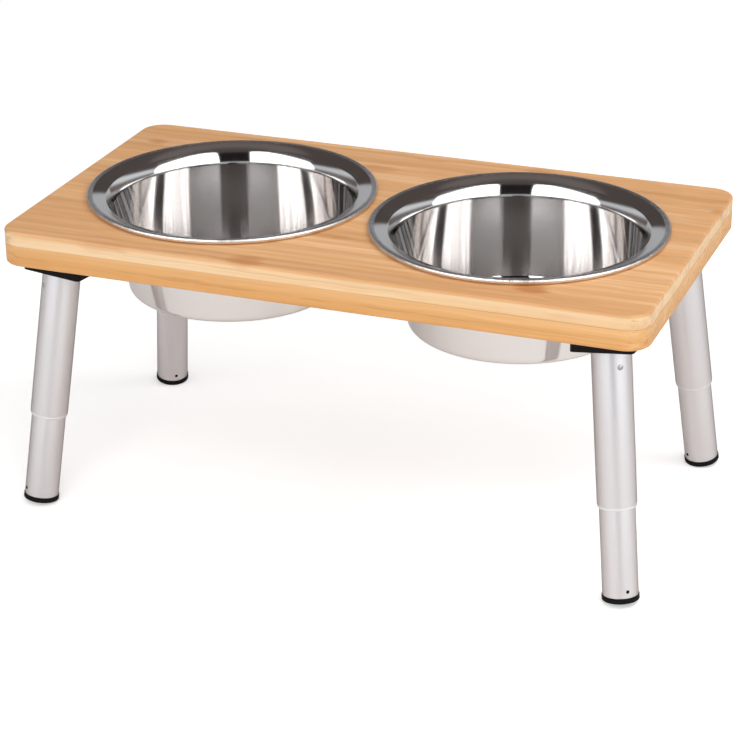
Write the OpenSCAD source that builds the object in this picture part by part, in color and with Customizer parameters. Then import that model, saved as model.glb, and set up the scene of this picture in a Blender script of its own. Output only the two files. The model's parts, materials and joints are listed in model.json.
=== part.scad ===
// Raised pet feeder: a laminated bamboo board on four leaning telescopic legs,
// with two lift-out steel bowls hanging in round holes by their rolled rims.
// Millimetres, +Z up, origin on the floor under the middle of the board,
// +X along the board's length and -Y towards the front.

/* [Board] */
// Thickness of the pale upper ply
top_ply_t = 8; // [5:0.5:14]
// Thickness of the darker lower ply
base_ply_t = 12; // [11:0.5:20]
// Board left beyond the bowl rims at each end
end_margin = 15.7; // [10:0.1:40]
// Board left beyond the bowl rims at the front and at the back
side_margin = 16.2; // [10:0.1:40]
// Radius of the board's four corners seen from above
board_corner_r = 13.5; // [4:0.5:24]
// Radius of the eased top and bottom edges
board_edge_r = 1.5; // [0.5:0.1:3]

/* [Bowls] */
// Diameter over the rolled rim
bowl_rim_d = 167.6; // [150:0.2:200]
// Gap between the two rims
bowl_gap = 5.4; // [2:0.2:30]
// Height of a bowl from its underside to the top of its rim
bowl_depth = 59; // [45:0.2:80]
// Thickness of the steel sheet
bowl_sheet = 0.7; // [0.5:0.05:1]
// Inside radius between the bottom and the wall
bowl_corner_r = 3; // [2:0.5:12]
// Lean of the wall from upright
bowl_wall_lean = 7.5; // [2:0.5:12]
// Radius of the shoulder between the wall and the flared rim
bowl_shoulder_r = 10; // [3:0.5:12]
// Slope of the flared rim
bowl_rim_slope = 19; // [5:0.5:28]
// Width of the flared rim along its slope
bowl_rim_w = 8; // [4:0.2:12]
// Radius of the rolled edge
bowl_curl_r = 1.6; // [1.2:0.1:2.4]
// Clearance between the board's hole and the bowl's shoulder
bowl_hole_clear = 1.5; // [1:0.1:3]
// Gap left under the rolled edge where it sits on the board
bowl_seat_gap = 0.15; // [0.1:0.05:0.3]

/* [Legs] */
// Leg axis to the end of the board, at the board's underside
leg_end_inset = 26.3; // [24:0.1:40]
// Leg axis to the front or back of the board, at the board's underside
leg_side_inset = 28.7; // [24:0.1:40]
// Lean of each leg from upright
leg_lean = 9.2; // [4:0.1:12]
// Direction of the lean, measured from the board's length
leg_lean_dir = 50; // [30:1:60]
// Leg length from the board's underside to the middle of the sole
leg_len = 152.1; // [146:0.1:156]
// Outside diameter of the upper tube
upper_tube_d = 21.6; // [20:0.1:24]
// Wall of the upper tube
upper_tube_wall = 0.7; // [0.6:0.05:1]
// Length of the upper tube
upper_tube_len = 86.8; // [84:0.1:90]
// Wall left at the mouth of the upper tube, where the collar is let in
mouth_wall = 0.4; // [0.3:0.05:0.5]
// Radial gap between the upper and the lower tube
tube_gap = 0.3; // [0.2:0.05:0.5]
// Wall of the lower tube
lower_tube_wall = 0.9; // [0.7:0.05:1.2]
// Length of the lower tube that is inside the upper tube
tube_overlap = 15.1; // [13:0.1:20]

/* [Mounting plates] */
// Side of the square plate under the board
plate_side = 34.5; // [32:0.5:40]
// Plate thickness on the leg's axis
plate_t = 9.6; // [9:0.1:12]
// Radius of the plate's upright corners
plate_corner_r = 2.5; // [1:0.5:4]
// Length of the spigot that enters the upper tube
spigot_len = 12; // [10:0.5:14]
// Plate edge to the centre of a screw
screw_inset = 4.8; // [4.5:0.1:5.5]
// Plate thickness kept under a screw head
screw_seat_t = 4; // [3:0.1:4.2]
// Diameter of the screw's shank
screw_d = 3.5; // [3:0.1:4]
// Length of the screw under its head
screw_len = 14; // [10:0.5:14.5]
// Diameter of the screw's head
screw_head_d = 6.8; // [5.5:0.1:7]
// Height of the screw's head
screw_head_h = 2.2; // [1.5:0.1:2.4]
// Width of the cross recess in the screw's head
recess_w = 0.9; // [0.6:0.1:1.2]
// Depth of the cross recess in the screw's head
recess_depth = 1.2; // [0.6:0.1:1.4]
// Top of the upper tube to the rivet that holds it on the spigot
rivet_drop = 9.5; // [5:0.5:10]
// Diameter of the rivet
rivet_d = 2.4; // [2:0.1:3]
// Diameter of the rivet's heads
rivet_head_d = 3.2; // [3:0.1:5]
// Height of the rivet's heads
rivet_head_h = 0.5; // [0.3:0.1:0.8]

/* [Collars] */
// Height of the collar's visible ring
collar_h = 1.6; // [1:0.1:4]
// Length of the collar's sleeve inside the upper tube
collar_sleeve_len = 8; // [5:0.5:9]
// Width of the bevel round the collar's ring
collar_bevel = 0.55; // [0.2:0.05:0.6]

/* [Twist locks] */
// Length of the expanding sleeve
expander_len = 14; // [12:0.5:15]
// Width of the slots that let the sleeve open
expander_slot_w = 1.4; // [1:0.1:2]
// Solid end of the sleeve above its slots
expander_crown = 4; // [3:0.5:5]
// Length of the spindle's plug inside the lower tube
spindle_plug_len = 10; // [8:0.5:14]
// Thickness of the spindle's flange on the end of the lower tube
spindle_flange_t = 1.5; // [1:0.1:2]
// Radial step from the flange to the bore of the upper tube
spindle_flange_clear = 0.6; // [0.4:0.1:0.8]
// Widest radius of the spindle's cone
cone_r = 6.5; // [5.5:0.1:7]
// Narrowest radius of the spindle's cone
cone_top_r = 4; // [3.6:0.1:4.5]
// Height of the spindle's cone
cone_h = 7; // [5:0.5:8]
// Diameter of the spindle's stud
stud_d = 6; // [5:0.1:6.4]
// Stud left above its nut
stud_tip = 1; // [0.5:0.1:2]
// Width across the flats of the nut
nut_af = 10; // [9:0.1:11]
// Height of the nut
nut_h = 3; // [2.4:0.1:4]

/* [Feet] */
// Step from the lower tube out to the foot's flange
foot_step = 0.4; // [0.2:0.05:1]
// Height of the flange's straight side
foot_side_h = 2; // [1:0.1:3]
// Rise of the domed sole
foot_dome_h = 1.5; // [1:0.1:2]
// Depth of the flat that the floor cuts in the sole
sole_flat = 0.4; // [0.3:0.05:0.45]
// Length of the plug inside the lower tube
foot_plug_len = 14; // [10:0.5:18]
// End of the lower tube to the nubs that hold the foot
nub_rise = 4.7; // [3:0.1:7]
// Diameter of the nubs
nub_d = 2; // [1.6:0.1:2.6]
// How far a nub stands out of the tube
nub_proud = 0.2; // [0.1:0.05:0.4]

/* [Clearances] */
// Radial clearance of pieces that slide or turn in each other
running_clear = 0.08; // [0.05:0.01:0.1]
// Radial clearance of pieces that are glued, pressed or screwed together
seat_clear = 0.05; // [0.02:0.01:0.08]
// Gap along the leg at each end of the expanding sleeve
end_play = 0.3; // [0.2:0.05:0.5]
// Radial clearance of screw heads in their counterbores
head_clear = 0.3; // [0.2:0.05:0.5]
// Gap below the tip of a screw
tip_clear = 1; // [0.5:0.1:1.5]

/* [Hidden] */
$fn = 96;
LEGS = ["front_left", "front_right", "rear_left", "rear_right"];
SIDES = ["left", "right"];
LEG_PIECES = [
    "mount_plate", "mount_screws", "tube_rivet", "upper_tube", "collar",
    "lock_expander", "lock_spindle", "lock_nut", "lower_tube", "foot"
];

arc_steps = 10;
curl_steps = 24;
curl_end = -150;
cut_over = 1;

board_t = top_ply_t + base_ply_t;
board_l = 2 * bowl_rim_d + bowl_gap + 2 * end_margin;
board_w = bowl_rim_d + 2 * side_margin;

// Bowl section: the food side's radii and heights, worked out from the rim inwards
bowl_in_h = bowl_depth - bowl_sheet;
shoulder_end_r = bowl_rim_d / 2 - bowl_curl_r * (1 + sin(bowl_rim_slope)) - bowl_rim_w * cos(bowl_rim_slope);
shoulder_c_r = shoulder_end_r + bowl_shoulder_r * sin(bowl_rim_slope);
rim_rise = bowl_rim_w * sin(bowl_rim_slope);
curl_rise = bowl_curl_r * (1 - cos(bowl_rim_slope));
shoulder_end_z = bowl_in_h - curl_rise - rim_rise;
shoulder_c_z = shoulder_end_z - bowl_shoulder_r * cos(bowl_rim_slope);
wall_top_r = shoulder_c_r - bowl_shoulder_r * cos(bowl_wall_lean);
wall_top_z = shoulder_c_z + bowl_shoulder_r * sin(bowl_wall_lean);
wall_low_z = bowl_corner_r * (1 - sin(bowl_wall_lean));
wall_low_r = wall_top_r - (wall_top_z - wall_low_z) * tan(bowl_wall_lean);
bowl_flat_r = wall_low_r - bowl_corner_r * cos(bowl_wall_lean);
bowl_hole_r = shoulder_end_r + bowl_hole_clear;
bowl_x = (bowl_rim_d + bowl_gap) / 2;

// Tube bores and the places along a leg, measured down its axis from the board's underside
leg_x = board_l / 2 - leg_end_inset;
leg_y = board_w / 2 - leg_side_inset;
upper_bore_r = upper_tube_d / 2 - upper_tube_wall;
mouth_r = upper_tube_d / 2 - mouth_wall;
lower_r = upper_bore_r - tube_gap;
lower_bore_r = lower_r - lower_tube_wall;
upper_end = plate_t + upper_tube_len;
foot_t = foot_side_h + foot_dome_h;
lower_end = leg_len - foot_t;
lower_top = upper_end - tube_overlap;
lower_tube_len = lower_end - lower_top;
expander_low = lower_top - spindle_flange_t - end_play;
expander_top = expander_low - expander_len;
nut_low = expander_top - end_play;
stud_top = nut_low - nut_h - stud_tip;
foot_r = lower_r + foot_step;
sole_r = (foot_r * foot_r + foot_dome_h * foot_dome_h) / (2 * foot_dome_h);

// The floor is at zero: the domed soles, cut flat there, set the board's height
under_z = (leg_len - sole_r) * cos(leg_lean) + sole_r - sole_flat;
board_top_z = under_z + board_t;
bowl_z = board_top_z + bowl_seat_gap + 2 * bowl_curl_r - bowl_in_h;
screw_pitch = plate_side / 2 - screw_inset;

function reverse(points) = [for (k = [len(points) - 1:-1:0]) points[k]];

function arc(centre, r, from, to, steps) = [
    for (k = [0:steps])
        let (a = from + (to - from) * k / steps)
        centre + r * [cos(a), sin(a)]
];

// Section of a bowl's surface at a distance under its food side, from the axis out to the rolled edge
function bowl_line(under) = concat(
    [[0, -under]],
    arc([bowl_flat_r, bowl_corner_r], bowl_corner_r + under, -90, -bowl_wall_lean, arc_steps),
    arc([shoulder_c_r, shoulder_c_z], bowl_shoulder_r - under,
        180 - bowl_wall_lean, 90 + bowl_rim_slope, arc_steps),
    arc([bowl_rim_d / 2 - bowl_curl_r, bowl_in_h - bowl_curl_r], bowl_curl_r - under,
        90 + bowl_rim_slope, curl_end, curl_steps)
);

function leg_sign(i) = [i % 2 == 0 ? -1 : 1, i < 2 ? -1 : 1];

// A leg's own frame: +z up its axis from the board's underside, +x outwards
module leg_frame(i) {
    s = leg_sign(i);
    translate([s.x * leg_x, s.y * leg_y, under_z])
        rotate([0, 0, atan2(s.y * sin(leg_lean_dir), s.x * cos(leg_lean_dir))])
            rotate([0, -leg_lean, 0])
                children();
}

// A ring or rod standing on a place along the leg
module rod(low, length, r) {
    translate([0, 0, -low])
        cylinder(r = r, h = length);
}

module pipe(low, length, r, bore_r) {
    difference() {
        rod(low, length, r);
        rod(low + cut_over, length + 2 * cut_over, bore_r);
    }
}

// A rod across the leg at a place along it, over its whole width
module cross_rod(low, half_length, r) {
    translate([-half_length, 0, -low])
        rotate([0, 90, 0])
            cylinder(r = r, h = 2 * half_length);
}

module at_screws(i) {
    s = leg_sign(i);
    for (dx = [-1, 1], dy = [-1, 1])
        translate([s.x * leg_x + dx * screw_pitch, s.y * leg_y + dy * screw_pitch, under_z])
            children();
}

// Section of the board's edge: a plain strip with its outer corners eased
module edge_section(depth) {
    e = board_edge_r;
    polygon(concat(
        [[0, 0]],
        arc([depth - e, e], e, -90, 0, arc_steps),
        arc([depth - e, board_t - e], e, 0, 90, arc_steps),
        [[0, board_t]]
    ));
}

module board_blank() {
    core_x = board_l / 2 - board_corner_r;
    core_y = board_w / 2 - board_corner_r;
    for (end = [0, 180])
        rotate([0, 0, end]) {
            rotate([90, 0, 90])
                linear_extrude(2 * core_x, center = true)
                    edge_section(board_w / 2);
            translate([core_x, 0, 0])
                rotate([90, 0, 0])
                    linear_extrude(2 * core_y, center = true)
                        edge_section(board_corner_r);
            for (turn = [0, 1])
                translate([core_x, (2 * turn - 1) * core_y, 0])
                    rotate([0, 0, 90 * turn - 90])
                        rotate_extrude(angle = 90)
                            edge_section(board_corner_r);
        }
}

module board_ply(low, thickness) {
    translate([0, 0, under_z])
        intersection() {
            board_blank();
            translate([-board_l, -board_w, low])
                cube([2 * board_l, 2 * board_w, thickness]);
        }
}

module bowl_holes() {
    for (side = [-1, 1])
        translate([side * bowl_x, 0, under_z - cut_over])
            cylinder(r = bowl_hole_r, h = board_t + 2 * cut_over);
}

module board_top_ply() {
    color("burlywood")
        difference() {
            board_ply(base_ply_t, top_ply_t);
            bowl_holes();
        }
}

module board_base_ply() {
    color("peru")
        difference() {
            board_ply(0, base_ply_t);
            bowl_holes();
            for (i = [0:3])
                at_screws(i)
                    translate([0, 0, -cut_over])
                        cylinder(d = screw_d + 2 * seat_clear, h = screw_len - screw_seat_t + tip_clear + cut_over);
        }
}

module bowl(side) {
    color("silver")
        translate([side * bowl_x, 0, bowl_z])
            rotate_extrude()
                polygon(concat(bowl_line(0), reverse(bowl_line(bowl_sheet))));
}

// Wedge between the flat board and the leaning leg, with the spigot that the tube slips over
module mount_plate(i) {
    s = leg_sign(i);
    flat = plate_side - 2 * plate_corner_r;
    reach = plate_side + plate_t;
    color("black")
        difference() {
            union() {
                intersection() {
                    translate([s.x * leg_x, s.y * leg_y, under_z - reach])
                        linear_extrude(reach)
                            union() {
                                square([flat, plate_side], center = true);
                                square([plate_side, flat], center = true);
                                for (x = [-1, 1], y = [-1, 1])
                                    translate([x * flat / 2, y * flat / 2])
                                        circle(plate_corner_r);
                            }
                    leg_frame(i)
                        translate([-reach, -reach, -plate_t])
                            cube(2 * reach);
                }
                leg_frame(i)
                    rod(plate_t + spigot_len, spigot_len + cut_over, upper_bore_r - seat_clear);
            }
            at_screws(i) {
                translate([0, 0, -screw_seat_t - cut_over])
                    cylinder(d = screw_d + 2 * seat_clear, h = screw_seat_t + 2 * cut_over);
                translate([0, 0, -screw_seat_t - reach])
                    cylinder(d = screw_head_d + 2 * head_clear, h = reach);
            }
            leg_frame(i)
                cross_rod(plate_t + rivet_drop, upper_tube_d, rivet_d / 2 + seat_clear);
        }
}

module mount_screws(i) {
    color("gray")
        at_screws(i)
            translate([0, 0, -screw_seat_t])
                difference() {
                    union() {
                        cylinder(d = screw_d, h = screw_len);
                        translate([0, 0, -screw_head_h])
                            cylinder(d = screw_head_d, h = screw_head_h);
                    }
                    for (turn = [0, 90])
                        rotate([0, 0, turn])
                            translate([0, 0, -screw_head_h])
                                cube([screw_d, recess_w, 2 * recess_depth], center = true);
                }
}

module tube_rivet(i) {
    cap_r = (rivet_head_d * rivet_head_d / 4 + rivet_head_h * rivet_head_h) / (2 * rivet_head_h);
    color("darkgray")
        leg_frame(i) {
            cross_rod(plate_t + rivet_drop, upper_tube_d / 2, rivet_d / 2);
            for (turn = [0, 180])
                rotate([0, 0, turn])
                    translate([upper_tube_d / 2, 0, -plate_t - rivet_drop])
                        rotate([0, 90, 0])
                            intersection() {
                                cylinder(d = rivet_head_d, h = rivet_head_h);
                                translate([0, 0, rivet_head_h - cap_r])
                                    sphere(cap_r);
                            }
        }
}

module upper_tube(i) {
    color("gainsboro")
        leg_frame(i)
            difference() {
                pipe(upper_end, upper_tube_len, upper_tube_d / 2, upper_bore_r);
                rod(upper_end + cut_over, collar_sleeve_len + cut_over, mouth_r);
                cross_rod(plate_t + rivet_drop, upper_tube_d, rivet_d / 2 + seat_clear);
            }
}

// Nylon bush in the mouth of the upper tube, with a bevelled ring that closes its end
module collar(i) {
    bore_r = lower_r + running_clear;
    sleeve_r = mouth_r - seat_clear;
    ring_r = upper_tube_d / 2;
    color("whitesmoke")
        leg_frame(i)
            translate([0, 0, -upper_end])
                rotate_extrude()
                    polygon([
                        [bore_r, -collar_h],
                        [ring_r - collar_bevel, -collar_h],
                        [ring_r, collar_bevel - collar_h],
                        [ring_r, 0],
                        [sleeve_r, 0],
                        [sleeve_r, collar_sleeve_len],
                        [bore_r, collar_sleeve_len]
                    ]);
}

// Slotted sleeve that the spindle's cone opens against the upper tube
module lock_expander(i) {
    slot_h = expander_len - expander_crown;
    color("lightgray")
        leg_frame(i)
            translate([0, 0, -expander_low])
                difference() {
                    cylinder(r = upper_bore_r - running_clear, h = expander_len);
                    translate([0, 0, -cut_over])
                        cylinder(d = stud_d + 2 * running_clear, h = expander_len + 2 * cut_over);
                    cylinder(r1 = cone_r + end_play, r2 = cone_top_r + end_play, h = cone_h + end_play);
                    for (turn = [0, 90])
                        rotate([0, 0, turn])
                            translate([-upper_tube_d, -expander_slot_w / 2, -cut_over])
                                cube([2 * upper_tube_d, expander_slot_w, slot_h + cut_over]);
                }
}

module lock_spindle(i) {
    plug_r = lower_bore_r - seat_clear;
    flange_r = upper_bore_r - spindle_flange_clear;
    color("goldenrod")
        leg_frame(i)
            translate([0, 0, -lower_top])
                rotate_extrude()
                    polygon([
                        [0, -spindle_plug_len],
                        [plug_r, -spindle_plug_len],
                        [plug_r, 0],
                        [flange_r, 0],
                        [flange_r, spindle_flange_t],
                        [cone_r, spindle_flange_t],
                        [cone_top_r, spindle_flange_t + cone_h],
                        [stud_d / 2, spindle_flange_t + cone_h],
                        [stud_d / 2, lower_top - stud_top],
                        [0, lower_top - stud_top]
                    ]);
}

module lock_nut(i) {
    color("dimgray")
        leg_frame(i)
            translate([0, 0, -nut_low])
                difference() {
                    cylinder(d = nut_af / cos(30), h = nut_h, $fn = 6);
                    translate([0, 0, -cut_over])
                        cylinder(d = stud_d + 2 * seat_clear, h = nut_h + 2 * cut_over);
                }
}

module lower_tube(i) {
    color("lightgray")
        leg_frame(i)
            difference() {
                pipe(lower_end, lower_tube_len, lower_r, lower_bore_r);
                cross_rod(lower_end - nub_rise, upper_tube_d, nub_d / 2 + seat_clear);
            }
}

// Rubber foot: a plug with two nubs that snap into the tube, and a domed sole cut flat by the floor
module foot(i) {
    color("black")
        difference() {
            leg_frame(i) {
                rod(lower_end, foot_plug_len, lower_bore_r - seat_clear);
                cross_rod(lower_end - nub_rise, lower_r + nub_proud, nub_d / 2);
                intersection() {
                    rod(leg_len, foot_t, foot_r);
                    translate([0, 0, sole_r - leg_len])
                        sphere(sole_r);
                }
            }
            translate([-board_l, -board_l, -leg_len])
                cube([2 * board_l, 2 * board_l, leg_len]);
        }
}

board_top_ply();
board_base_ply();
for (k = [0, 1])
    bowl(2 * k - 1);
for (i = [0:3]) {
    mount_plate(i);
    mount_screws(i);
    tube_rivet(i);
    upper_tube(i);
    collar(i);
    lock_expander(i);
    lock_spindle(i);
    lock_nut(i);
    lower_tube(i);
    foot(i);
}
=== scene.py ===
"""Raised pet feeder: a bamboo board on leaning telescopic legs with two lift-out steel bowls.

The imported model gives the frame. This script lays smooth surfaces over its visible pieces, gives every
piece its finish, and sets up a white studio with the camera.
"""
import json
import math

import bpy
import numpy as np
from mathutils import Matrix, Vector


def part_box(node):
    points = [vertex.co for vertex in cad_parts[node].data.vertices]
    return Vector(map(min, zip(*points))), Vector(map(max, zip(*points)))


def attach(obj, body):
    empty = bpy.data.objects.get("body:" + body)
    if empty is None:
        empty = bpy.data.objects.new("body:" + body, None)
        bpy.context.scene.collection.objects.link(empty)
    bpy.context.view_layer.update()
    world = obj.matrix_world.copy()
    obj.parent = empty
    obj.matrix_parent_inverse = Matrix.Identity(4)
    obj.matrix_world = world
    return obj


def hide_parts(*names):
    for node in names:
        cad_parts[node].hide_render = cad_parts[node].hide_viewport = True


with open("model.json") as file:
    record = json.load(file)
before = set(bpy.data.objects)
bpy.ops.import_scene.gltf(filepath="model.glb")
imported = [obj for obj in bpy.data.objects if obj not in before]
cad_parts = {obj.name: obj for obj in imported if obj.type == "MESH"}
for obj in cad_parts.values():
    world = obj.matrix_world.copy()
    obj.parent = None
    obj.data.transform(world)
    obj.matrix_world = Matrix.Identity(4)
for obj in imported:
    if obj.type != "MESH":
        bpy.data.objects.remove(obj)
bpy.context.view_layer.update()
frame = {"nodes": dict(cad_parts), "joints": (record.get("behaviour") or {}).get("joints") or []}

bl_info = {
    "name": "Raised pet feeder",
    "version": (1, 0, 0),
    "blender": (4, 5, 0),
    "location": "3D View > Sidebar > Feeder",
    "description": "Surfaces, finishes and studio for a raised pet feeder with telescopic legs",
    "category": "Object",
}

LEGS = ("front_left", "front_right", "rear_left", "rear_right")
SIDES = ("left", "right")
STAND = "stand"
UP = np.array([0.0, 0.0, 1.0])
MM = 0.001

# Where the bamboo's nodes show, in millimetres: along, across, half length, half width, and strength
NODE_MARKS = (
    (-37.0, -94.0, 14.0, 8.0, 0.62), (-166.0, 67.0, 9.0, 6.0, 0.55), (-10.0, -46.0, 18.0, 6.0, 0.32),
    (119.0, -81.0, 13.0, 7.0, 0.85), (-21.0, 66.0, 14.0, 7.0, 0.40), (184.0, 61.0, 6.0, 4.0, 0.5),
    (70.0, 93.0, 12.0, 6.0, 0.35), (-120.0, -99.0, 20.0, 3.0, 0.25),
)

# Points along the runs of the board's grid and of a bowl's section, in an eased corner, on the foot's
# dome, and round the turned pieces
BOARD_STEPS = {"long": 60, "short": 64, "corner": 17, "middle": 66, "across": 24, "edge": 7}
BOWL_STEPS = {"flat": 24, "corner": 16, "wall": 26, "shoulder": 32, "bend": 10, "rim": 18, "curl": 40}
EASED_STEPS = 6
DOME_STEPS = 24
LEG_ROUND = 128
BOWL_ROUND = 256
NUB_ROUND = 32

# Points that lie closer together than this, in metres, are joined
WELD = 2e-8

# The floor's radius, its number of sides, and how far it lies under the feet
FLOOR_R = 6.0
FLOOR_SIDES = 64
FLOOR_DROP = 0.3 * MM

# How far the bamboo's grain sways, its nodes reach down, and the edge's tone wanders
GRAIN_SWAY = 4.5 * MM
NODE_DEPTH = 7.0 * MM
EDGE_WANDER = 5.0 * MM

BOARD_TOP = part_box("board_top_ply")
BOARD_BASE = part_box("board_base_ply")
TOP_Z = BOARD_TOP[1].z
SEAM_Z = BOARD_TOP[0].z
UNDER_Z = BOARD_BASE[0].z
HALF_L = BOARD_TOP[1].x
HALF_W = BOARD_TOP[1].y


def length(name, description, metres):
    """A length property in metres."""
    return bpy.props.FloatProperty(
        name=name, description=description, default=metres, precision=5, unit="LENGTH"
    )


def angle(name, description, degrees):
    """An angle property, given in degrees."""
    return bpy.props.FloatProperty(
        name=name, description=description, default=math.radians(degrees), unit="ROTATION"
    )


def factor(name, description, value, top=1.0):
    """A plain number property from nothing up to a limit."""
    return bpy.props.FloatProperty(
        name=name, description=description, default=value, min=0.0, max=top
    )


def tint(name, description, colour):
    """A colour property in scene-linear red, green and blue."""
    return bpy.props.FloatVectorProperty(
        name=name, description=description, default=colour, size=3, subtype="COLOR", min=0.0, max=1.0
    )


def power(name, description, watts):
    """A lamp's power property in watts."""
    return bpy.props.FloatProperty(name=name, description=description, default=watts, unit="POWER")


def pixels(name, description, count):
    """A length property in pixels of the picture."""
    return bpy.props.FloatProperty(name=name, description=description, default=count, subtype="PIXEL")


class BoardLook(bpy.types.PropertyGroup):
    """Sizes and colours of the bamboo board."""

    corner_r: length("Corner radius", "Radius of the four corners seen from above", 13.5 * MM)
    edge_r: length("Edge radius", "Radius of the eased outer edges", 1.5 * MM)
    hole_r: length("Hole radius", "Radius of the two holes for the bowls", 75.6 * MM)
    hole_edge_r: length("Hole edge radius", "Radius of the eased edge round each hole", 0.6 * MM)
    seam_r: length("Glue line radius", "Radius of the edges that meet at the glue line", 0.12 * MM)
    strip_w: length("Strip width", "Width of the bamboo strips that the plies are glued from", 21.0 * MM)
    pale_h: length("Pale from", "Height over the glue line from which the upper ply is palest", 5.0 * MM)
    dark_h: length("Dark up to", "Height over the underside up to which the lower ply is darkest", 1.0 * MM)
    face: tint("Upper face", "Colour of the upper ply's face", (0.785, 0.425, 0.188))
    pale: tint("Upper ply", "Colour of the upper ply's edge", (0.90, 0.635, 0.37))
    glued: tint("Upper ply, low", "Colour of the upper ply's edge beside the glue line", (0.88, 0.58, 0.31))
    middle: tint("Lower ply, high", "Colour of the lower ply beside the glue line", (0.83, 0.475, 0.20))
    dark: tint("Lower ply, low", "Colour of the lower ply at its underside", (0.77, 0.385, 0.13))
    fibre: tint("Fibre", "Colour of the darker fibres", (0.43, 0.18, 0.055))
    node: tint("Nodes", "Colour of the bamboo's nodes", (0.50, 0.19, 0.05))


class BowlLook(bpy.types.PropertyGroup):
    """Section and finish of the steel bowls."""

    sheet: length("Sheet", "Thickness of the steel sheet", 0.7 * MM)
    corner_r: length("Bottom corner radius", "Inside radius between bottom and wall", 3.0 * MM)
    bend_r: length("Rim bend radius", "Radius of the bend between the flared rim and the shoulder", 1.4 * MM)
    shoulder_w: length("Shoulder width", "Width of the shoulder seen from above", 4.0 * MM)
    curl_r: length("Rolled edge radius", "Radius of the rolled edge", 1.6 * MM)
    rim_w: length("Rim width", "Width of the flared rim along its slope", 9.1 * MM)
    foot_r: length("Bottom radius", "Radius where wall and bottom would meet without a corner", 61.2 * MM)
    rim_bow: angle("Rim bow", "How much the flared rim's slope changes to each side of its middle", 5.0)
    rim_slope: angle("Rim slope", "Slope of the flared rim", 19.0)
    bend_end: angle("Shoulder start", "Slope of the shoulder where the rim's bend ends", 44.0)
    curl_end: angle("Rolled edge end", "Where the rolled edge stops, from level", -150.0)
    steel: tint("Steel", "Colour of the polished steel", (0.77, 0.74, 0.72))
    gloss: factor("Roughness", "Roughness of the polished steel", 0.095)
    wall_drop: length("Wall's top", "Depth of the inner wall's upper end under the rim", 10.0 * MM)
    lean_low: angle("Sheen lean, low", "Lean of the inner wall's sheen at the bottom", 7.3)
    lean_high: angle("Sheen lean, high", "Lean of the inner wall's sheen at the shoulder", -6.2)
    # The pale swirls on the inner wall are painted reflections, set by a strength and by the turn across
    # which they lie
    painted_swirl_reflection: factor("Swirl", "Strength of the pale polishing swirls on the inner wall across the lay", 0.55)
    painted_reflection_turn: angle("Lay", "Turn of the polishing lay from the board's width", 21.0)
    grain: factor("Grain", "How much the round polishing lines spread the reflections across them", 1.0)
    edge_dull: factor("Edge roughness", "How much rougher the rolled edge is than the rest", 0.13)
    chatter: factor("Edge marks", "How far the rolled edge's tooling marks sway its sheen", 1.3, 4.0)


class LegLook(bpy.types.PropertyGroup):
    """Sizes and finishes of the telescopic legs."""

    upper_r: length("Upper tube radius", "Outside radius of the upper tube", 10.8 * MM)
    upper_bore_r: length("Upper bore radius", "Inside radius of the upper tube", 10.1 * MM)
    upper_start: length("Upper tube start", "Board underside to the top of the upper tube", 9.6 * MM)
    upper_end: length("Upper tube end", "Board underside to the mouth of the upper tube", 96.4 * MM)
    lower_r: length("Lower tube radius", "Outside radius of the lower tube", 9.8 * MM)
    lower_bore_r: length("Lower bore radius", "Inside radius of the lower tube", 8.9 * MM)
    lower_start: length("Lower tube start", "Board underside to the top of the lower tube", 81.3 * MM)
    lower_end: length("Lower tube end", "Board underside to the end of the lower tube", 148.6 * MM)
    lip_r: length("Tube lip", "Radius of the tubes' deburred ends", 0.25 * MM)
    mouth_r: length("Mouth radius", "Outside radius of the collar in the upper tube", 10.35 * MM)
    collar_h: length("Collar height", "Height of the collar's visible ring", 1.6 * MM)
    collar_sleeve: length("Collar sleeve", "Length of the collar inside the upper tube", 8.0 * MM)
    collar_gap: length("Collar clearance", "Clearance between the collar and the lower tube", 0.08 * MM)
    foot_r: length("Foot radius", "Radius of the foot's flange", 10.2 * MM)
    foot_side: length("Foot side", "Height of the flange's straight side", 2.0 * MM)
    foot_cuff: length("Foot cuff", "How far the flange's thin cuff reaches up the tube", 1.0 * MM)
    foot_dome: length("Foot dome", "Rise of the domed sole", 1.5 * MM)
    plug_len: length("Foot plug", "Length of the foot's plug inside the lower tube", 14.0 * MM)
    nub_r: length("Nub radius", "Radius of the nubs that hold the foot", 1.0 * MM)
    nub_rise: length("Nub height", "End of the lower tube to the nubs", 4.7 * MM)
    nub_proud: length("Nub proud", "How far a nub stands out of the tube", 0.2 * MM)
    aluminium: tint("Aluminium", "Colour of the satin tubes", (0.735, 0.715, 0.715))
    nylon: tint("Collar nylon", "Colour of the collars", (0.68, 0.67, 0.665))
    rubber: tint("Rubber", "Colour of the feet", (0.006, 0.006, 0.006))
    plate: tint("Plate nylon", "Colour of the mounting plates", (0.006, 0.0055, 0.0055))


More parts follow.
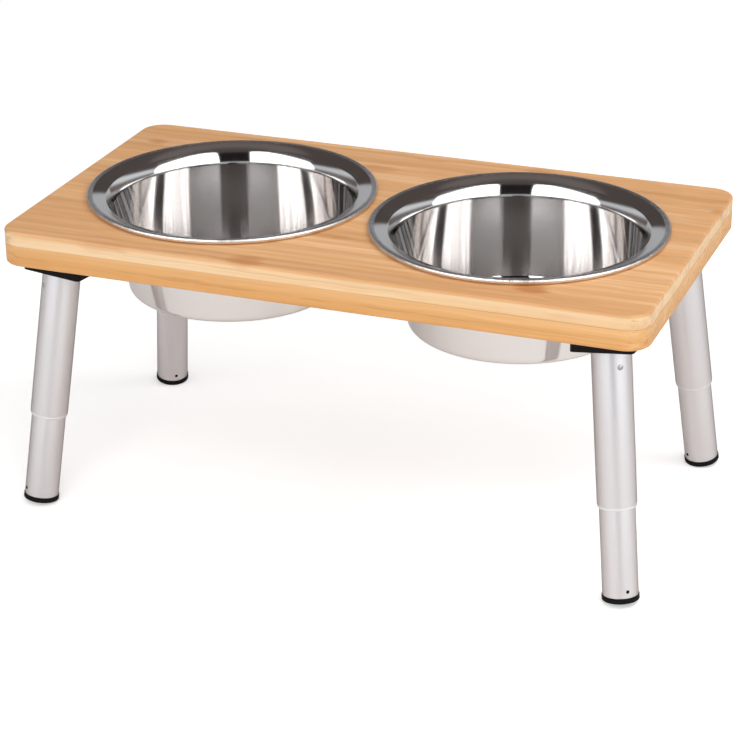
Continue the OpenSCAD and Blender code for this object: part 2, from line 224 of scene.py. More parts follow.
class StageLook(bpy.types.PropertyGroup):
    """Camera and light of the studio."""

    focal_px: pixels("Focal length", "Focal length in pixels of the square picture", 2437.3)
    picture_px: pixels("Picture width", "Width of the square picture in pixels", 736.0)
    azimuth: angle("Azimuth", "Turn of the camera to the right of the front", 21.34)
    elevation: angle("Elevation", "Height of the camera above the level", 24.302)
    roll: angle("Roll", "Turn of the camera about its view", 0.701)
    distance: length("Distance", "Camera to the point that it looks at", 1.178)
    aim_x: length("Aim X", "Where the camera looks at, along the board", 0.07524)
    aim_y: length("Aim Y", "Where the camera looks at, across the board", -0.20303)
    key: power("Key", "Power of the front light", 14.0)
    right: power("Right", "Power of the right light", 6.4)
    left: power("Left", "Power of the left light", 1.8)
    floor: tint("Floor", "Colour of the floor", (0.86, 0.86, 0.86))
    floor_glow: factor("Floor's glow", "How far the floor is lifted towards white for the camera", 0.42)
    floor_shine: factor("Floor's shine", "How far the floor is lifted towards white in reflections", 0.12)
    white_from: length("White from", "Distance at which the floor starts to turn plain white", 0.5)
    white_at: length("White at", "Distance at which the floor is plain white", 1.1)
    # The floor's warm glow in reflections is painted light, bounced from the board
    cast: tint("Cast", "Colour that the board lends the floor in reflections", (0.68, 0.45, 0.38))
    painted_board_bounce_share: factor("Cast's share", "How much of the cast the floor takes in reflections", 0.14)
    ambient: factor("Ambient", "Strength of the light from all around", 0.45, 2.0)
    ceiling: factor("Ceiling", "Brightness of the studio's ceiling in reflections", 0.085)
    gap: factor("Gap", "Brightness of the gap where the camera stands in reflections", 0.015)
    backdrop: factor("Backdrop", "Brightness of the backdrop in reflections", 0.57)
    walls: factor("Walls", "Brightness of the side walls in reflections", 0.74)
    softbox: factor("Softbox", "Brightness of the dim light above the backdrop in reflections", 0.17)
    slant: factor("Slant", "How much brighter reflections are to the right than in the middle", 0.10)
    panel: factor("Panels", "Brightness of the light panels in reflections", 4.0, 8.0)
    backdrop_top: angle("Backdrop's top", "Height of the backdrop's upper edge", 18.0)
    wall_top: angle("Walls' top", "Height of the side walls' upper edge", 28.0)
    wall_dim: factor("Walls' foot", "Brightness of the side walls' foot as a share of their own", 0.12)
    wall_foot: angle("Walls' foot, top", "Height up to which the side walls are dim", 11.0)
    wall_full: angle("Walls' full height", "Height from which the side walls have their own brightness", 20.0)
    softbox_low: angle("Softbox's foot", "Height of the dim light's lower edge", 50.0)
    softbox_top: angle("Softbox's top", "Height of the dim light's upper edge", 62.0)
    panel_low: angle("Panels' foot", "Height of the light panels' lower edge", 13.0)
    gap_low: angle("Gap's foot", "Height of the lower edge of the gap between the panels", 14.0)
    panel_top: angle("Panels' top", "Height of the light panels' upper edge", 64.0)
    panel_drop: angle("Panels' fall", "How far the panels' upper edge falls towards their ends", 34.0)
    drop_from: angle("Panels' fall, start", "Where the panels' upper edge starts to fall", 40.0)
    drop_to: angle("Panels' fall, end", "Where the panels' upper edge stops falling", 95.0)
    panel_inner: angle("Panels' gap", "Half the gap between the panels where the camera stands", 15.0)
    panel_outer: angle("Panels' end", "Where the panels end and the side walls start", 83.0)
    wall_end: angle("Walls' end", "Where the side walls end and the backdrop starts", 152.0)


# Surfaces


def arc(centre, radius, start, stop, steps):
    """Points on a circle: centre + radius (cos a, sin a), with a in equal steps from start to stop."""
    a = np.linspace(start, stop, steps)
    return np.stack([centre[0] + radius * np.cos(a), centre[1] + radius * np.sin(a)], axis=1)


def unit(vectors):
    """Vectors, single or in rows, brought to a length of one."""
    return vectors / np.linalg.norm(vectors, axis=-1, keepdims=True)


def raised(points, height):
    """Points of the level plane lifted to a height."""
    return np.column_stack([points, np.full(len(points), height)])


def eased(points, radii):
    """A closed outline with each corner replaced by an arc of its own radius.

    The arc touches both sides at radius / tan(half the corner's angle) from the corner.
    """
    p = np.asarray(points, float)
    before = unit(np.roll(p, 1, axis=0) - p)
    after = unit(np.roll(p, -1, axis=0) - p)
    half = 0.5 * np.arccos(np.clip((before * after).sum(1), -1.0, 1.0))
    radii = np.asarray(radii, float)
    centre = p + unit(before + after) * (radii / np.sin(half))[:, None]
    start = p + before * (radii / np.tan(half))[:, None] - centre
    stop = p + after * (radii / np.tan(half))[:, None] - centre
    t = np.linspace(0.0, 1.0, EASED_STEPS)[None, :, None]
    chord = start[:, None] * (1.0 - t) + stop[:, None] * t
    return (centre[:, None] + unit(chord) * radii[:, None, None]).reshape(-1, 2)


def grid_faces(rows, columns, close_columns=True):
    """Corner numbers of the quads between neighbouring points of a grid whose last row meets its first."""
    c = np.arange(columns if close_columns else columns - 1)
    r, c = np.meshgrid(np.arange(rows), c, indexing="ij")
    r2 = (r + 1) % rows
    c2 = (c + 1) % columns
    quads = np.stack([r * columns + c, r * columns + c2, r2 * columns + c2, r2 * columns + c], axis=-1)
    return quads.reshape(-1, 4)


def welded(points, quads):
    """Joins points that lie together and turns quads that lost a corner into triangles."""
    keys = np.round(points / WELD).astype(np.int64)
    _, first, number = np.unique(keys, axis=0, return_index=True, return_inverse=True)
    quads = number.reshape(-1)[quads]
    same = quads == np.roll(quads, -1, axis=1)
    whole = quads[same.sum(1) == 0]
    lost = same.sum(1) == 1
    corner = same[lost].argmax(1)
    turn = (corner[:, None] + np.arange(1, 4)[None]) % 4
    triangles = np.take_along_axis(quads[lost], turn, axis=1)
    return points[first], whole, triangles


def signed_volume(points, quads, triangles):
    """Six times the volume inside the faces, negative where they point inwards."""
    fans = np.concatenate([quads[:, [0, 1, 2]], quads[:, [0, 2, 3]], triangles.reshape(-1, 3)])
    a, b, c = points[fans[:, 0]], points[fans[:, 1]], points[fans[:, 2]]
    return float((a * np.cross(b, c)).sum())


def piece(name, points, quads, sharp_deg=32.0):
    """A closed smooth mesh object from points and quads, welded and turned outwards."""
    points, quads, triangles = welded(points, quads)
    if signed_volume(points - points.mean(0), quads, triangles) < 0.0:
        quads = quads[:, ::-1]
        triangles = triangles[:, ::-1]
    mesh = bpy.data.meshes.new(name)
    mesh.from_pydata(points.tolist(), [], quads.tolist() + triangles.tolist())
    mesh.shade_smooth()
    mesh.set_sharp_from_angle(angle=math.radians(sharp_deg))
    mesh.update()
    obj = bpy.data.objects.new(name, mesh)
    bpy.context.scene.collection.objects.link(obj)
    return obj


def lathe(section, origin, axis, steps):
    """A section of (radius, height) points turned about an axis.

    Point = origin + radius (cos a, sin a) in the plane across the axis + height along the axis.
    """
    axis = unit(np.asarray(axis, float))
    side = unit(np.cross(axis, [0.0, 1.0, 0.0]))
    other = np.cross(axis, side)
    a = np.linspace(0.0, 2.0 * np.pi, steps, endpoint=False)
    ring = np.cos(a)[:, None] * side + np.sin(a)[:, None] * other
    section = np.asarray(section, float)
    points = origin + section[:, 0][None, :, None] * ring[:, None, :] + section[:, 1][None, :, None] * axis
    return points.reshape(-1, 3), steps, len(section)


def turned(name, section, origin, axis, steps=LEG_ROUND):
    """A turned piece from a closed section, or one that starts and ends on the axis."""
    points, rows, columns = lathe(section, origin, axis, steps)
    return piece(name, points, grid_faces(rows, columns))


def dress(obj, body, slot, finish, *nodes):
    """Puts a piece on its body in place of the nodes that it stands for, with its finish."""
    obj.data.materials.append(finish)
    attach(obj, body)
    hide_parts(*nodes)


def leg_axes():
    """Each leg's point at the board's underside and its direction down the leg, from the twist joints."""
    joints = {joint["name"]: joint for joint in frame["joints"]}
    found = {}
    for leg in LEGS:
        joint = joints[f"leg_{leg}_twist"]
        found[leg] = (np.array(joint["pos_m"]), np.array(joint["axis"]))
    return found


# Shader expressions


class Value:
    """A socket that carries a number; arithmetic on it adds Math nodes."""

    def __init__(self, tree, socket):
        self.tree = tree
        self.socket = socket

    def math(self, operation, *others):
        """A Math node with this value first."""
        return self.tree.node("ShaderNodeMath", {"operation": operation}, dict(enumerate((self, *others))))

    def flipped(self, operation, other):
        """A Math node with this value second."""
        return self.tree.node("ShaderNodeMath", {"operation": operation}, {0: other, 1: self})

    def __add__(self, other):
        return self.math("ADD", other)

    def __radd__(self, other):
        return self.flipped("ADD", other)

    def __sub__(self, other):
        return self.math("SUBTRACT", other)

    def __rsub__(self, other):
        return self.flipped("SUBTRACT", other)

    def __mul__(self, other):
        return self.math("MULTIPLY", other)

    def __rmul__(self, other):
        return self.flipped("MULTIPLY", other)

    def __truediv__(self, other):
        return self.math("DIVIDE", other)

    def __rtruediv__(self, other):
        return self.flipped("DIVIDE", other)


class Tree:
    """A shader tree whose nodes are made by one method."""

    def __init__(self, node_tree):
        self.node_tree = node_tree
        node_tree.nodes.clear()

    def add(self, kind, settings=None, sockets=None):
        """Adds a node, sets it up, and joins or fills its sockets."""
        made = self.node_tree.nodes.new(kind)
        for key, value in (settings or {}).items():
            setattr(made, key, value)
        for key, value in (sockets or {}).items():
            socket = made.inputs[key]
            if isinstance(value, Value):
                self.node_tree.links.new(value.socket, socket)
            else:
                socket.default_value = (*value, 1.0) if socket.type == "RGBA" else value
        return made

    def node(self, kind, settings=None, sockets=None, out=0):
        """Adds a node and gives back one of its outputs."""
        return Value(self, self.add(kind, settings, sockets).outputs[out])

    def mapped(self, vector, scale=(1.0, 1.0, 1.0), offset=(0.0, 0.0, 0.0)):
        """A vector scaled and moved by a Mapping node."""
        return self.node("ShaderNodeMapping", None, {"Vector": vector, "Scale": scale, "Location": offset})

    def place(self, scale=(1.0, 1.0, 1.0), offset=(0.0, 0.0, 0.0)):
        """Object coordinates, scaled and moved."""
        return self.mapped(self.node("ShaderNodeTexCoord", out="Object"), scale, offset)

    def parts(self, vector):
        """The three numbers of a vector."""
        return [self.node("ShaderNodeSeparateXYZ", None, {"Vector": vector}, out=k) for k in range(3)]

    def noise(self, vector, scale, detail=2.0, roughness=0.5):
        """A noise value between nothing and one."""
        return self.node(
            "ShaderNodeTexNoise", None,
            {"Vector": vector, "Scale": scale, "Detail": detail, "Roughness": roughness},
        )

    def noise_along(self, value, scale, detail):
        """A noise value between nothing and one that follows a single number."""
        sockets = {"W": value, "Scale": scale, "Detail": detail}
        return self.node("ShaderNodeTexNoise", {"noise_dimensions": "1D"}, sockets)

    def step(self, value, low, high, to_low=0.0, to_high=1.0):
        """A smooth step of a value between two limits."""
        return self.node(
            "ShaderNodeMapRange", {"interpolation_type": "SMOOTHSTEP", "clamp": True},
            {"Value": value, "From Min": low, "From Max": high, "To Min": to_low, "To Max": to_high},
        )

    def mix(self, amount, first, second):
        """A colour between two colours."""
        return self.node("ShaderNodeMix", {"data_type": "RGBA"}, {0: amount, 6: first, 7: second}, out=2)

    def ray(self, kind):
        """One for rays of a kind, such as Is Camera Ray, and nothing for the others."""
        return self.node("ShaderNodeLightPath", out=kind)

    def either(self, amount, first, second):
        """A shader between two shaders."""
        return self.node("ShaderNodeMixShader", None, {0: amount, 1: first, 2: second})


class Finish(Tree):
    """A material with one Principled shader."""

    def __init__(self, name, constants):
        self.material = bpy.data.materials.new(name)
        self.material.use_nodes = True
        super().__init__(self.material.node_tree)
        self.shader = self.add("ShaderNodeBsdfPrincipled", None, constants)
        self.lit = Value(self, self.shader.outputs[0])
        self.output = self.add("ShaderNodeOutputMaterial", None, {"Surface": self.lit})

    def feed(self, **sockets):
        """Joins varying values to the shader: colour, roughness or metal."""
        names = {"colour": "Base Color", "roughness": "Roughness", "metal": "Metallic"}
        for key, value in sockets.items():
            self.node_tree.links.new(value.socket, self.shader.inputs[names[key]])

    def bump(self, height, distance, strength=1.0, base=None):
        """Raises the surface by a height value times a distance in metres, from a base normal if given."""
        sockets = {"Height": height, "Distance": distance, "Strength": strength}
        if base:
            sockets["Normal"] = base
        normal = self.node("ShaderNodeBump", None, sockets)
        self.node_tree.links.new(normal.socket, self.shader.inputs["Normal"])


# Finishes


def bamboo(name, look, face, high, low, face_z, low_z, high_z, seed):
    """Oiled bamboo: strips along the length, each with its own tone, with streaks, fine fibres and nodes.

    The faces and the sawn edges differ in tone: the edge's colour runs from low at low_z to high at high_z,
    wandering with the grain, and the face's colour takes over above face_z.
    """
    finish = Finish(name, {"Specular IOR Level": 0.3, "Coat Roughness": 0.35, "Coat Weight": 0.08})
    x, y, z = finish.parts(finish.place())

    waves = finish.noise(finish.place((26.0, 30.0, 30.0), (seed, 0.0, 0.0)), 1.0, 1.0)
    sway = GRAIN_SWAY * (waves - 0.5)
    shift = finish.node("ShaderNodeCombineXYZ", None, {"Y": sway, "Z": sway})
    swayed = finish.node("ShaderNodeVectorMath", {"operation": "ADD"}, {0: finish.place(), 1: shift})

    def grain(along, across, over, detail, start):
        """A noise with so many waves per metre along, across and through the board."""
        stretched = finish.mapped(swayed, (along, across, over), (start + seed, 0.0, 0.0))
        return finish.noise(stretched, 1.0, detail, 0.55)

    bend = grain(4.0, 14.0, 14.0, 1.0, 3.0)
    strip = (y / look.strip_w + 0.10 * bend).math("FLOOR")
    tone = finish.node("ShaderNodeTexWhiteNoise", {"noise_dimensions": "1D"}, {"W": strip + seed})
    broad = grain(2.4, 48.0, 60.0, 3.0, 0.0)
    streak = grain(3.5, 190.0, 260.0, 3.0, 5.0)
    line = grain(1.8, 330.0, 520.0, 2.0, 9.0)
    fibre = grain(16.0, 1100.0, 1000.0, 2.0, 0.0)
    ragged = grain(60.0, 400.0, 400.0, 2.0, 1.0)
    under = (face_z - z) / NODE_DEPTH
    fade = under * under
    spots = 0.0
    for mark_x, mark_y, half_x, half_y, depth in NODE_MARKS:
        along = (x - mark_x * MM) / (half_x * MM)
        across = (y - mark_y * MM) / (half_y * MM)
        spread = along * along + across * across + fade + 1.1 * (ragged - 0.5) + 0.9 * (streak - 0.5)
        spots = finish.step(spread, 0.05, 1.0, depth, 0.0) + spots
    wander = z + EDGE_WANDER * (broad - 0.5)
    edge = finish.mix(finish.step(wander, low_z, high_z), low, high)
    on_face = finish.step(z, face_z - 2.0 * MM, face_z - 0.7 * MM)
    ground = finish.mix(on_face, edge, face)

    def share(at_edge, at_face):
        """A weight for the sawn edge that becomes another one on the face."""
        return at_edge + (at_face - at_edge) * on_face

    pale = tuple(min(1.0, channel * gain) for channel, gain in zip(high, (1.10, 1.22, 1.45)))
    lift = share(0.50, 0.32) * finish.step(streak, 0.48, 0.66) * finish.step(broad, 0.30, 0.60, 0.4, 0.9)
    lifted = finish.mix(lift, ground, pale)
    dark = (
        share(0.44, 0.24) * finish.step(line, 0.56, 0.70)
        + share(0.20, 0.26) * finish.step(streak, 0.50, 0.34)
        + share(0.10, 0.34) * finish.step(broad, 0.56, 0.38)
        + share(0.12, 0.18) * tone
        + share(0.12, 0.24) * (fibre - 0.35)
    )
    from_seam = (z - SEAM_Z).math("ABSOLUTE")
    glue = finish.step(from_seam, 0.10 * MM, 0.40 * MM, 0.5, 0.0) * finish.step(broad, 0.42, 0.56)
    grained = finish.mix((dark * 0.62 + glue).math("MAXIMUM", 0.0), lifted, look.fibre)
    marked = finish.mix(spots, grained, look.node)
    finish.feed(colour=marked, roughness=0.42 + 0.14 * fibre + 0.06 * broad)
    finish.bump(0.6 * fibre + 0.4 * streak, 0.05 * MM, 0.5)
    return finish.material


def spun_steel(look, bowl_x, edge_r, low_z, high_z):
    """Spun and polished steel: round lines about each bowl's axis spread the reflections across them.

    The distance from the nearer bowl's axis is r = sqrt((|x| - bowl_x)^2 + y^2). The spun wall bulges a
    little, so on the inner wall, where the normal's upward part is small and positive, that part is set to
    the tangent of a lean that eases from the bottom to the shoulder. Pale swirls are painted reflections:
    where the wall faces across the look's turn for them, the metal is lowered so that the steel's plain
    colour shows. The rolled edge, out to the radius edge_r, is rougher than the rest, and fine tooling
    marks round it sway its normal sideways.
    """
    finish = Finish("spun_steel", {
        "Base Color": look.steel, "Metallic": 1.0,
        "Anisotropic": look.grain, "Anisotropic Rotation": 0.25, "Specular Tint": (0.78, 0.76, 0.75),
    })
    here = finish.place()
    x, y, z = finish.parts(here)
    side = x.math("ABSOLUTE") - bowl_x
    reach = (side * side + y * y).math("SQRT")
    lines = finish.noise_along(reach * 0.7 + z, 2400.0, 3.0)
    haze = finish.noise(here, 30.0, 3.0)
    edge = finish.step(reach, edge_r - 2.4 * look.curl_r, edge_r - 1.8 * look.curl_r)
    finish.feed(roughness=look.gloss * (0.82 + 0.24 * lines + 0.12 * haze) + look.edge_dull * edge)
    normal = finish.node("ShaderNodeNewGeometry", out="Normal")
    out_x, out_y, tilt = finish.parts(normal)
    wall = finish.step(tilt, 0.02, 0.09) * finish.step(tilt, 0.18, 0.32, 1.0, 0.0)
    low, high = math.tan(look.lean_low), math.tan(look.lean_high)
    lean = finish.step(z, low_z, high_z, low, high)
    # Painted reflections: where the inner wall faces across this turn, which lies close to the camera's,
    # swirls lower the metal so the pale base colour shows
    facing = (out_x * math.sin(look.painted_reflection_turn) - out_y * math.cos(look.painted_reflection_turn)).math("ABSOLUTE")
    across = finish.step(facing, 0.42, 0.60, 1.0, 0.0) * wall
    turn = out_x.math("ARCTAN2", out_y) + 4.0 * z
    swirls = finish.noise_along(turn, 9.0, 2.0)
    finish.feed(metal=1.0 - look.painted_swirl_reflection * across * finish.step(swirls, 0.40, 0.62, 0.12, 1.0))
    aside = x.math("SIGN") * side
    marks = finish.noise_along(aside.math("ARCTAN2", y), 450.0, 1.0)
    sway = look.chatter * edge * (marks - 0.5) / reach
    bulged = finish.node("ShaderNodeCombineXYZ", None, {
        "X": out_x - sway * y, "Y": out_y + sway * aside, "Z": tilt + wall * (lean - tilt),
    })
    crowned = finish.node("ShaderNodeVectorMath", {"operation": "NORMALIZE"}, {0: bulged})
    finish.bump(lines, 0.002 * MM, 0.3, crowned)
    return finish.material


def satin_aluminium(look):
    """Satin anodised tube: fine lines along the length over an even sheen."""
    finish = Finish("satin_aluminium", {
        "Metallic": 1.0, "Anisotropic": 0.5, "Anisotropic Rotation": 0.25,
        "Specular Tint": (0.42, 0.40, 0.40),
    })
    grain = finish.noise(finish.place(scale=(1.0, 1.0, 0.02)), 2400.0, 2.0, 0.6)
    cloud = finish.noise(finish.place(scale=(1.0, 1.0, 0.3)), 45.0, 2.0)
    colour = finish.mix(0.12 * grain + 0.10 * cloud, look.aluminium, (0.58, 0.55, 0.55))
    finish.feed(colour=colour, roughness=0.29 + 0.06 * grain + 0.04 * cloud)
    finish.bump(grain, 0.005 * MM, 0.4)
    return finish.material


def moulded(name, colour, roughness, grain_mm, depth_mm, specular=0.5):
    """Moulded plastic or rubber: an even colour with a fine pebbled grain."""
    finish = Finish(name, {"Specular IOR Level": specular})
    grain = finish.noise(finish.place(), 1.0 / (grain_mm * MM), 2.0)
    cloud = finish.noise(finish.place(), 60.0, 2.0)
    paler = tuple(min(1.0, channel * 1.35 + 0.004) for channel in colour)
    pebbled = finish.mix(0.5 * grain + 0.3 * cloud, colour, paler)
    finish.feed(colour=pebbled, roughness=roughness + 0.12 * grain)
    finish.bump(grain, depth_mm * MM, 0.6)
    return finish.material


def turned_metal(name, colour, roughness):
    """Small hardware: metal with fine turning marks and slightly uneven plating."""
    finish = Finish(name, {"Metallic": 1.0})
    marks = finish.noise(finish.place(), 3200.0, 2.0)
    cloud = finish.noise(finish.place(), 220.0, 2.0)
    darker = tuple(channel * 0.7 for channel in colour)
    finish.feed(colour=finish.mix(0.4 * cloud, colour, darker), roughness=roughness + 0.15 * marks)
    finish.bump(marks, 0.008 * MM, 0.4)
    return finish.material


# Pieces


def half_outline(look, inset_r):
    """Stations round the right half of the board, from the middle of its front to the middle of its back.

    Gives the outline's points and its outward directions; the middle line's stations have no direction.
    """
    r = look.corner_r
    flat_x = np.linspace(0.0, HALF_L - r, BOARD_STEPS["long"])
    flat_y = np.linspace(-HALF_W + r, HALF_W - r, BOARD_STEPS["short"])
    turn = np.linspace(0.0, 0.5 * np.pi, BOARD_STEPS["corner"])
    front = np.stack([flat_x, np.full_like(flat_x, -HALF_W)], 1)
    end = np.stack([np.full_like(flat_y, HALF_L), flat_y], 1)
    rear = front[::-1] * [1.0, -1.0]
    lean = turn[1:-1]
    low = np.stack([np.sin(lean), -np.cos(lean)], 1)
    high = np.stack([np.cos(lean), np.sin(lean)], 1)
    low_at = low * r + [HALF_L - r, r - HALF_W]
    high_at = high * r + [HALF_L - r, HALF_W - r]
    middle_y = np.linspace(HALF_W - inset_r, inset_r - HALF_W, BOARD_STEPS["middle"])[1:-1]
    middle = np.stack([np.zeros_like(middle_y), middle_y], 1)
    points = np.concatenate([front, low_at, end, high_at, rear, middle])
    out = np.concatenate([
        np.tile([0.0, -1.0], (len(front), 1)), low, np.tile([1.0, 0.0], (len(end), 1)), high,
        np.tile([0.0, 1.0], (len(rear), 1)), np.zeros((len(middle), 2)),
    ])
    return points, out


def ply_section(low_z, high_z, low_r, high_r):
    """A ply's outer edge from its lower to its upper face: (inset, height) with both corners eased."""
    low = arc((low_r, low_z + low_r), low_r, 1.5 * np.pi, np.pi, BOARD_STEPS["edge"])
    high = arc((high_r, high_z - high_r), high_r, np.pi, 0.5 * np.pi, BOARD_STEPS["edge"])
    return np.concatenate([low, high])


def board_ply(name, look, low_z, high_z, low_edge, high_edge, bowl_x):
    """One ply of the board with its two holes.

    Round each hole the surface runs from the hole's circle to the board's outline on straight lines,
    point = circle + t (outline - circle), over the top and back under the bottom. The two halves meet
    in the middle of the board.
    """
    (low_r, low_hole), (high_r, high_hole) = low_edge, high_edge
    stations, out = half_outline(look, max(low_r, high_r))
    ray = stations - [bowl_x, 0.0]
    circle = unit(ray)
    rows = []
    outer = ply_section(low_z, high_z, low_r, high_r)
    inner = ply_section(low_z, high_z, low_hole, high_hole)
    spread = np.linspace(0.0, 1.0, BOARD_STEPS["across"])[1:-1]

    def outline_row(inset, height):
        return raised(stations - out * inset, height)

    def hole_row(inset, height):
        return raised(circle * (look.hole_r + inset) + [bowl_x, 0.0], height)

    rows += [hole_row(inset, height) for inset, height in inner]
    rows += [hole_row(*inner[-1]) * (1.0 - t) + outline_row(*outer[-1]) * t for t in spread]
    rows += [outline_row(inset, height) for inset, height in outer[::-1]]
    rows += [outline_row(*outer[0]) * (1.0 - t) + hole_row(*inner[0]) * t for t in spread]
    grid = np.array(rows)
    points = grid.reshape(-1, 3)
    quads = grid_faces(len(grid), len(stations))
    # Quads in the middle plane, where the halves meet, would lie inside the ply
    inside = np.abs(points[quads][:, :, 0]).max(1) < 5.0 * WELD
    quads = quads[~inside]
    mirrored = points * [-1.0, 1.0, 1.0]
    both = np.concatenate([points, mirrored])
    return piece(name, both, np.concatenate([quads, quads[:, ::-1] + len(points)]), 40.0)


def bowl_section(look, rim_r, depth):
    """Section of a bowl from the middle of its bottom out to the rolled edge and back underneath.

    The food side is bottom, corner arc, leaning wall, shoulder arc, tight bend, flared rim and rolled edge.
    The rim is a cubic between bend and rolled edge with their slopes at its ends. The underside runs one
    sheet thickness away from the food side, so its arcs are larger or smaller by that.
    """
    slope, bow, start = look.rim_slope, look.rim_bow, look.bend_end
    inside_h = depth - look.sheet
    curl_at = (rim_r - look.curl_r, inside_h - look.curl_r)
    rim_end = (curl_at[0] - look.curl_r * math.sin(slope), curl_at[1] + look.curl_r * math.cos(slope))
    rim_in = (rim_end[0] - look.rim_w * math.cos(slope), rim_end[1] - look.rim_w * math.sin(slope))
    inner = slope + bow
    bend_at = (rim_in[0] + look.bend_r * math.sin(inner), rim_in[1] - look.bend_r * math.cos(inner))
    high = (bend_at[0] - look.bend_r * math.sin(start), bend_at[1] + look.bend_r * math.cos(start))
    lean = math.atan2(high[0] - look.shoulder_w - look.foot_r, high[1] - 2.0 * look.shoulder_w)
    shoulder_r = look.shoulder_w / (math.cos(lean) - math.sin(start))
    shoulder_at = (high[0] + shoulder_r * math.sin(start), high[1] - shoulder_r * math.cos(start))
    wall_r = shoulder_at[0] - shoulder_r * math.cos(lean)
    wall_z = shoulder_at[1] + shoulder_r * math.sin(lean)
    wall_low_z = look.corner_r * (1.0 - math.sin(lean))
    wall_low_r = wall_r - (wall_z - wall_low_z) * math.tan(lean)
    flat_r = wall_low_r - look.corner_r * math.cos(lean)

    def side(under):
        steps = BOWL_STEPS
        quarter = 0.5 * np.pi
        corner = arc((flat_r, look.corner_r), look.corner_r + under, -quarter, -lean, steps["corner"])
        shoulder = arc(shoulder_at, shoulder_r - under, np.pi - lean, quarter + start, steps["shoulder"])
        bend = arc(bend_at, look.bend_r - under, quarter + start, quarter + inner, steps["bend"])
        curl = arc(curl_at, look.curl_r - under, quarter + slope - bow, look.curl_end, steps["curl"])
        flat_x = np.linspace(0.0, flat_r, steps["flat"])[:-1]
        flat = np.column_stack([flat_x, np.full_like(flat_x, -under)])
        t = np.linspace(0.0, 1.0, steps["wall"])[1:-1, None]
        wall = corner[-1] * (1.0 - t) + shoulder[0] * t
        t = np.linspace(0.0, 1.0, steps["rim"])[1:-1, None]
        reach = np.linalg.norm(curl[0] - bend[-1])
        leave = reach * np.array([math.cos(inner), math.sin(inner)])
        arrive = reach * np.array([math.cos(slope - bow), math.sin(slope - bow)])
        rim = (
            (2.0 * t**3 - 3.0 * t**2 + 1.0) * bend[-1] + (t**3 - 2.0 * t**2 + t) * leave
            + (3.0 * t**2 - 2.0 * t**3) * curl[0] + (t**3 - t**2) * arrive
        )
        return np.concatenate([flat, corner, wall, shoulder, bend[1:], rim, curl])

    return np.concatenate([side(0.0), side(look.sheet)[::-1]])


def tube_section(outer_r, bore_r, start, end, lip):
    """A tube's wall as (radius, distance down the leg), with deburred ends."""
    return eased([(outer_r, start), (outer_r, end), (bore_r, end), (bore_r, start)], [lip] * 4)


def collar_section(look):
    """The collar: a bevelled ring under the tube's mouth and a thin sleeve inside it."""
    bore = look.lower_r + look.collar_gap
    ring_r = look.upper_r - 0.1 * MM
    low = look.upper_end + look.collar_h
    top = look.upper_end - look.collar_sleeve
    points = [
        (bore, low), (ring_r, low), (ring_r, look.upper_end),
        (look.mouth_r, look.upper_end), (look.mouth_r, top), (bore, top),
    ]
    return eased(points, np.array([0.15, 0.7, 0.05, 0.05, 0.1, 0.1]) * MM)


def foot_section(look):
    """The foot: a domed sole under a flange with a thin cuff round the tube, and the plug inside the tube."""
    dome_r = (look.foot_r ** 2 + look.foot_dome ** 2) / (2.0 * look.foot_dome)
    sole = look.lower_end + look.foot_side + look.foot_dome
    spread = math.asin(look.foot_r / dome_r)
    dome = arc((0.0, sole - dome_r), dome_r, 0.5 * np.pi, 0.5 * np.pi - spread, DOME_STEPS)[:-2]
    plug_r = look.lower_bore_r - 0.05 * MM
    cuff_r = look.lower_r + 0.03 * MM
    flange = eased(
        [
            (look.foot_r, sole - look.foot_dome),
            (look.foot_r, look.lower_end - look.foot_cuff),
            (cuff_r, look.lower_end - look.foot_cuff),
            (cuff_r, look.lower_end),
            (plug_r, look.lower_end),
            (plug_r, look.lower_end - look.plug_len),
            (0.0, sole - look.foot_dome),
        ],
        np.array([0.35, 0.25, 0.02, 0.02, 0.02, 0.5, 0.02]) * MM,
    )[:-EASED_STEPS]
    return np.concatenate([dome, flange, [(0.0, look.lower_end - look.plug_len)]])


class BoardBuild(bpy.types.Operator):
    """Lays the bamboo board's two plies"""

    bl_idname = "feeder.board"
    bl_label = "Board"

    def execute(self, context):
        look = context.scene.feeder_board
        low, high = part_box("bowl_right")
        bowl_x = 0.5 * (low.x + high.x)
        seam = (look.seam_r, look.seam_r)
        top = board_ply("board_top", look, SEAM_Z, TOP_Z, seam, (look.edge_r, look.hole_edge_r), bowl_x)
        base = board_ply("board_base", look, UNDER_Z, SEAM_Z, (look.edge_r, look.hole_edge_r), seam, bowl_x)
        pale = bamboo(
            "pale_bamboo", look, face=look.face, high=look.pale, low=look.glued,
            face_z=TOP_Z, low_z=SEAM_Z, high_z=SEAM_Z + look.pale_h, seed=0.0,
        )
        dark = bamboo(
            "dark_bamboo", look, face=look.dark, high=look.middle, low=look.dark,
            face_z=TOP_Z, low_z=UNDER_Z + look.dark_h, high_z=SEAM_Z, seed=11.3,
        )
        dress(top, STAND, "bamboo_pale", pale, "board_top_ply")
        dress(base, STAND, "bamboo_dark", dark, "board_base_ply")
        return {"FINISHED"}


class BowlBuild(bpy.types.Operator):
    """Turns the two steel bowls"""

    bl_idname = "feeder.bowls"
    bl_label = "Bowls"

    def execute(self, context):
        look = context.scene.feeder_bowl
        low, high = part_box("bowl_right")
        steel = spun_steel(
            look, bowl_x=0.5 * (low.x + high.x), edge_r=0.5 * (high.x - low.x),
            low_z=low.z, high_z=high.z - look.wall_drop,
        )
        for side in SIDES:
            low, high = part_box(f"bowl_{side}")
            section = bowl_section(look, 0.5 * (high.x - low.x), high.z - low.z)
            origin = np.array([0.5 * (low.x + high.x), 0.0, low.z + look.sheet])
            obj = turned(f"bowl_{side}_steel", section, origin, UP, BOWL_ROUND)
            dress(obj, f"{side}_bowl", "polished_steel", steel, f"bowl_{side}")
        return {"FINISHED"}


